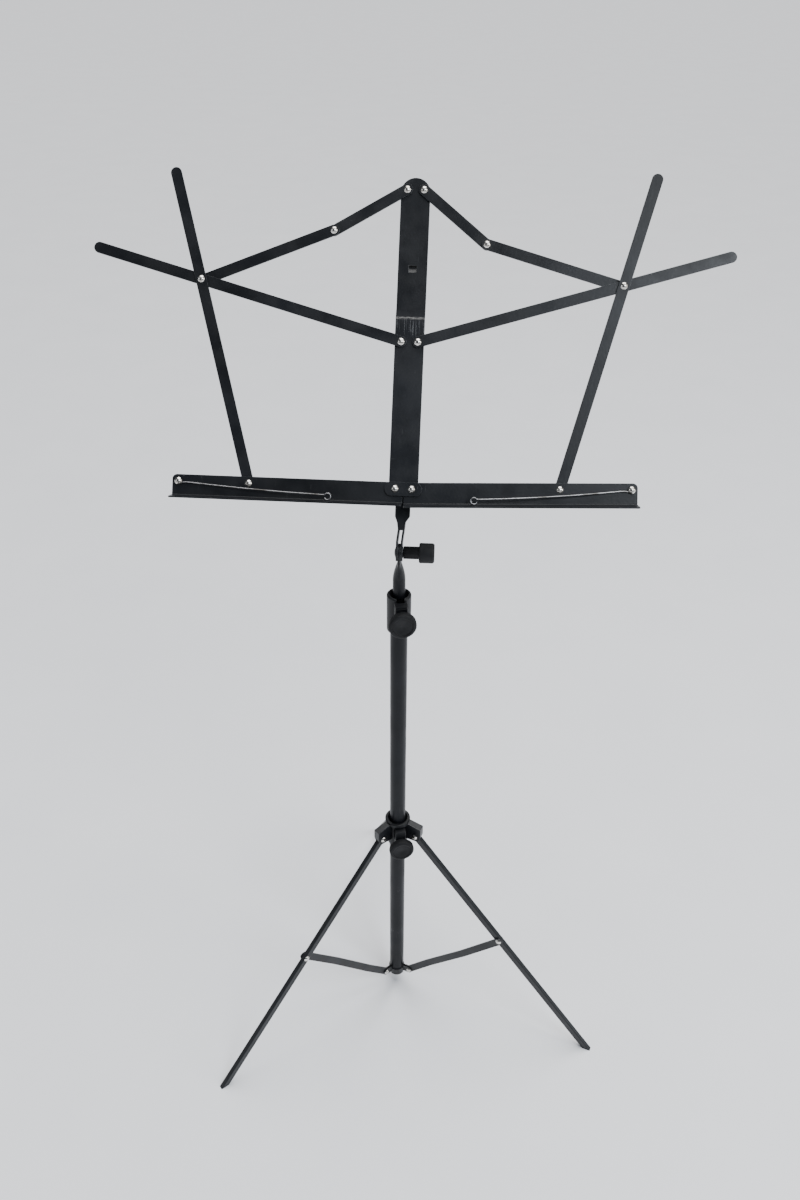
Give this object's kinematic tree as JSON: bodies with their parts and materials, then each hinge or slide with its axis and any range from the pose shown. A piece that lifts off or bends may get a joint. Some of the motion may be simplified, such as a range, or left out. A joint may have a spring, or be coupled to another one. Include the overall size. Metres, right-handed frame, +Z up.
{
  "type": "music stand",
  "caption": "Black folding sheet-music stand: tripod with sliding collar, telescopic mast, tilting desk of riveted flat bars, ledge and wire page holders.",
  "frame": {"origin": "on the floor, under the axis of the mast", "axes": "+Z up along the mast; -Y the way the desk faces, towards the player; X along the ledge, +X to the player's right"},
  "size_m": [0.6521, 0.4574, 1.0364],
  "materials": {
    "black_enamel": "satin black enamel",
    "enamelled_tube": "satin black enamel",
    "nickel_rivet": "bright nickel plate",
    "plated_steel": "zinc plate",
    "black_plastic": "fine matte",
    "black_moulding": "satin moulding",
    "bush_plastic": "natural nylon",
    "spring_wire": "drawn spring wire"
  },
  "bodies": {
    "tripod_base": {"lower_tube": "enamelled_tube", "hub_band_left": "black_enamel", "hub_band_front": "black_enamel", "hub_band_right": "black_enamel", "hub_rivets": "nickel_rivet", "height_clamp": "black_moulding", "height_nut": "plated_steel"},
    "collar": {"tripod_collar": "black_moulding", "collar_bracket_rear": "black_enamel", "collar_bracket_left": "black_enamel", "collar_bracket_right": "black_enamel", "collar_rivets": "nickel_rivet", "collar_nut": "plated_steel"},
    "collar_knob": {"collar_knob": "black_plastic"},
    "height_knob": {"height_knob": "black_plastic"},
    "guide_bush": {"guide_bush": "bush_plastic"},
    "mast": {"inner_tube": "enamelled_tube"},
    "desk": {"desk_bracket": "black_enamel", "spine": "black_enamel", "centre_plate": "black_enamel", "ledge_spacers": "black_enamel", "rivets_ledge": "nickel_rivet", "rivets_long_arms": "nickel_rivet", "rivets_spine_top": "nickel_rivet", "tilt_bolt": "black_enamel", "tilt_washers": "black_enamel"},
    "tilt_knob": {"tilt_knob": "black_plastic"},
    "leg_rear": {"leg_rear": "black_enamel", "strut_rivet_rear": "nickel_rivet"},
    "strut_rear": {"strut_rear": "black_enamel"},
    "leg_left": {"leg_left": "black_enamel", "strut_rivet_left": "nickel_rivet"},
    "strut_left": {"strut_left": "black_enamel"},
    "leg_right": {"leg_right": "black_enamel", "strut_rivet_right": "nickel_rivet"},
    "strut_right": {"strut_right": "black_enamel"},
    "ledge_left": {"ledge_left": "black_enamel", "rivet_arm_foot_left": "nickel_rivet", "rivet_holder_left": "nickel_rivet"},
    "diagonal_arm_left": {"diagonal_arm_left": "black_enamel", "rivet_crossing_left": "nickel_rivet"},
    "long_arm_left": {"long_arm_left": "black_enamel"},
    "upper_link_left": {"upper_link_left": "black_enamel", "rivet_elbow_left": "nickel_rivet"},
    "second_link_left": {"second_link_left": "black_enamel", "rivet_crossing_tail_left": "nickel_rivet"},
    "page_holder_left": {"page_holder_left": "spring_wire"},
    "ledge_right": {"ledge_right": "black_enamel", "rivet_arm_foot_right": "nickel_rivet", "rivet_holder_right": "nickel_rivet"},
    "diagonal_arm_right": {"diagonal_arm_right": "black_enamel", "rivet_crossing_right": "nickel_rivet"},
    "long_arm_right": {"long_arm_right": "black_enamel"},
    "upper_link_right": {"upper_link_right": "black_enamel", "rivet_elbow_right": "nickel_rivet"},
    "second_link_right": {"second_link_right": "black_enamel", "rivet_crossing_tail_right": "nickel_rivet"},
    "page_holder_right": {"page_holder_right": "spring_wire"}
  },
  "joints": [
    {"name": "collar_slide", "type": "slide", "parent": "tripod_base", "child": "collar", "axis": [0, 0, 1], "range_m": [0, 0.093]},
    {"name": "leg_fold_rear", "type": "hinge", "parent": "collar", "child": "leg_rear", "pos_m": [-0.00404, 0.02416, 0.2968], "axis": [-0.9863, -0.165, 0], "range_deg": [0, 37.3]},
    {"name": "strut_fold_rear", "type": "hinge", "parent": "leg_rear", "child": "strut_rear", "pos_m": [-0.02369, 0.14158, 0.15596], "axis": [0.9863, 0.165, 0], "range_deg": [0, 76.06]},
    {"name": "leg_fold_left", "type": "hinge", "parent": "collar", "child": "leg_left", "pos_m": [-0.01891, -0.01558, 0.2968], "axis": [0.6361, -0.7716, 0], "range_deg": [0, 37.3]},
    {"name": "strut_fold_left", "type": "hinge", "parent": "leg_left", "child": "strut_left", "pos_m": [-0.11077, -0.09131, 0.15596], "axis": [-0.6361, 0.7716, 0], "range_deg": [0, 76.06]},
    {"name": "leg_fold_right", "type": "hinge", "parent": "collar", "child": "leg_right", "pos_m": [0.02295, -0.00858, 0.2968], "axis": [0.3502, 0.9367, 0], "range_deg": [0, 37.3]},
    {"name": "strut_fold_right", "type": "hinge", "parent": "leg_right", "child": "strut_right", "pos_m": [0.13446, -0.05027, 0.15596], "axis": [-0.3502, -0.9367, 0], "range_deg": [0, 76.06]},
    {"name": "collar_knob_turn", "type": "hinge", "parent": "collar", "child": "collar_knob", "pos_m": [0, 0, 0.288], "axis": [0.2419, -0.9703, 0], "range_deg": [0, 540]},
    {"name": "height_knob_turn", "type": "hinge", "parent": "tripod_base", "child": "height_knob", "pos_m": [0, 0, 0.631], "axis": [0.1822, -0.9833, 0], "range_deg": [0, 540]},
    {"name": "mast_slide", "type": "slide", "parent": "tripod_base", "child": "guide_bush", "axis": [0, 0, 1], "range_m": [-0.012, 0.4]},
    {"name": "mast_swivel", "type": "hinge", "parent": "guide_bush", "child": "mast", "pos_m": [0, 0, 0.6], "axis": [0, 0, 1], "continuous": true},
    {"name": "desk_tilt", "type": "hinge", "parent": "mast", "child": "desk", "pos_m": [0, 0, 0.7043], "axis": [1, 0, 0], "range_deg": [-50, 40]},
    {"name": "tilt_knob_turn", "type": "hinge", "parent": "desk", "child": "tilt_knob", "pos_m": [0.02, 0, 0.7043], "axis": [1, 0, 0], "range_deg": [0, 540]},
    {"name": "ledge_fold_left", "type": "hinge", "parent": "desk", "child": "ledge_left", "pos_m": [-0.0061, 0.02554, 0.76385], "axis": [0, 0.8396, -0.5432], "range_deg": [0, 85]},
    {"name": "diagonal_arm_fold_left", "type": "hinge", "parent": "ledge_left", "child": "diagonal_arm_left", "pos_m": [-0.15609, 0.02625, 0.76495], "axis": [0, 0.8396, -0.5432], "range_deg": [-70.7, 0]},
    {"name": "long_arm_fold_left", "type": "hinge", "parent": "desk", "child": "long_arm_left", "pos_m": [-0.00479, 0.10702, 0.88979], "axis": [0, 0.8396, -0.5432], "range_deg": [0, 70.7]},
    {"name": "upper_link_fold_left", "type": "hinge", "parent": "desk", "child": "upper_link_left", "pos_m": [-0.00344, 0.19142, 1.02026], "axis": [0, 0.8396, -0.5432], "range_deg": [-58.22, 0]},
    {"name": "second_link_fold_left", "type": "hinge", "parent": "upper_link_left", "child": "second_link_left", "pos_m": [-0.07694, 0.16792, 0.98393], "axis": [0, 0.8396, -0.5432], "range_deg": [0, 164.83]},
    {"name": "page_holder_swing_left", "type": "hinge", "parent": "ledge_left", "child": "page_holder_left", "pos_m": [-0.22789, 0.02659, 0.76548], "axis": [0, -0.8396, 0.5432], "range_deg": [0, 180]},
    {"name": "ledge_fold_right", "type": "hinge", "parent": "desk", "child": "ledge_right", "pos_m": [0.0109, 0.02546, 0.76373], "axis": [0, -0.8396, 0.5432], "range_deg": [0, 83]},
    {"name": "diagonal_arm_fold_right", "type": "hinge", "parent": "ledge_right", "child": "diagonal_arm_right", "pos_m": [0.16085, 0.0276, 0.76702], "axis": [0, -0.8396, 0.5432], "range_deg": [-69.13, 0]},
    {"name": "long_arm_fold_right", "type": "hinge", "parent": "desk", "child": "long_arm_right", "pos_m": [0.01221, 0.10694, 0.88966], "axis": [0, -0.8396, 0.5432], "range_deg": [0, 69.13]},
    {"name": "upper_link_fold_right", "type": "hinge", "parent": "desk", "child": "upper_link_right", "pos_m": [0.01357, 0.19134, 1.02014], "axis": [0, -0.8396, 0.5432], "range_deg": [-50.01, 0]},
    {"name": "second_link_fold_right", "type": "hinge", "parent": "upper_link_right", "child": "second_link_right", "pos_m": [0.0792, 0.16175, 0.97439], "axis": [0, -0.8396, 0.5432], "range_deg": [0, 150.05]},
    {"name": "page_holder_swing_right", "type": "hinge", "parent": "ledge_right", "child": "page_holder_right", "pos_m": [0.23262, 0.02862, 0.7686], "axis": [0, 0.8396, -0.5432], "range_deg": [0, 180]}
  ],
  "couplings": [
    {"joint": "leg_fold_rear", "follows": "collar_slide", "rad_per_m": 6.9435},
    {"joint": "strut_fold_rear", "follows": "collar_slide", "rad_per_m": 14.218},
    {"joint": "leg_fold_left", "follows": "collar_slide", "rad_per_m": 6.9435},
    {"joint": "strut_fold_left", "follows": "collar_slide", "rad_per_m": 14.218},
    {"joint": "leg_fold_right", "follows": "collar_slide", "rad_per_m": 6.9435},
    {"joint": "strut_fold_right", "follows": "collar_slide", "rad_per_m": 14.218},
    {"joint": "diagonal_arm_fold_left", "follows": "ledge_fold_left", "ratio": -0.82826},
    {"joint": "long_arm_fold_left", "follows": "ledge_fold_left", "ratio": 0.82826},
    {"joint": "upper_link_fold_left", "follows": "ledge_fold_left", "ratio": -0.68137},
    {"joint": "second_link_fold_left", "follows": "ledge_fold_left", "ratio": 1.9356},
    {"joint": "diagonal_arm_fold_right", "follows": "ledge_fold_right", "ratio": -0.82927},
    {"joint": "long_arm_fold_right", "follows": "ledge_fold_right", "ratio": 0.82927},
    {"joint": "upper_link_fold_right", "follows": "ledge_fold_right", "ratio": -0.5989},
    {"joint": "second_link_fold_right", "follows": "ledge_fold_right", "ratio": 1.8042}
  ]
}
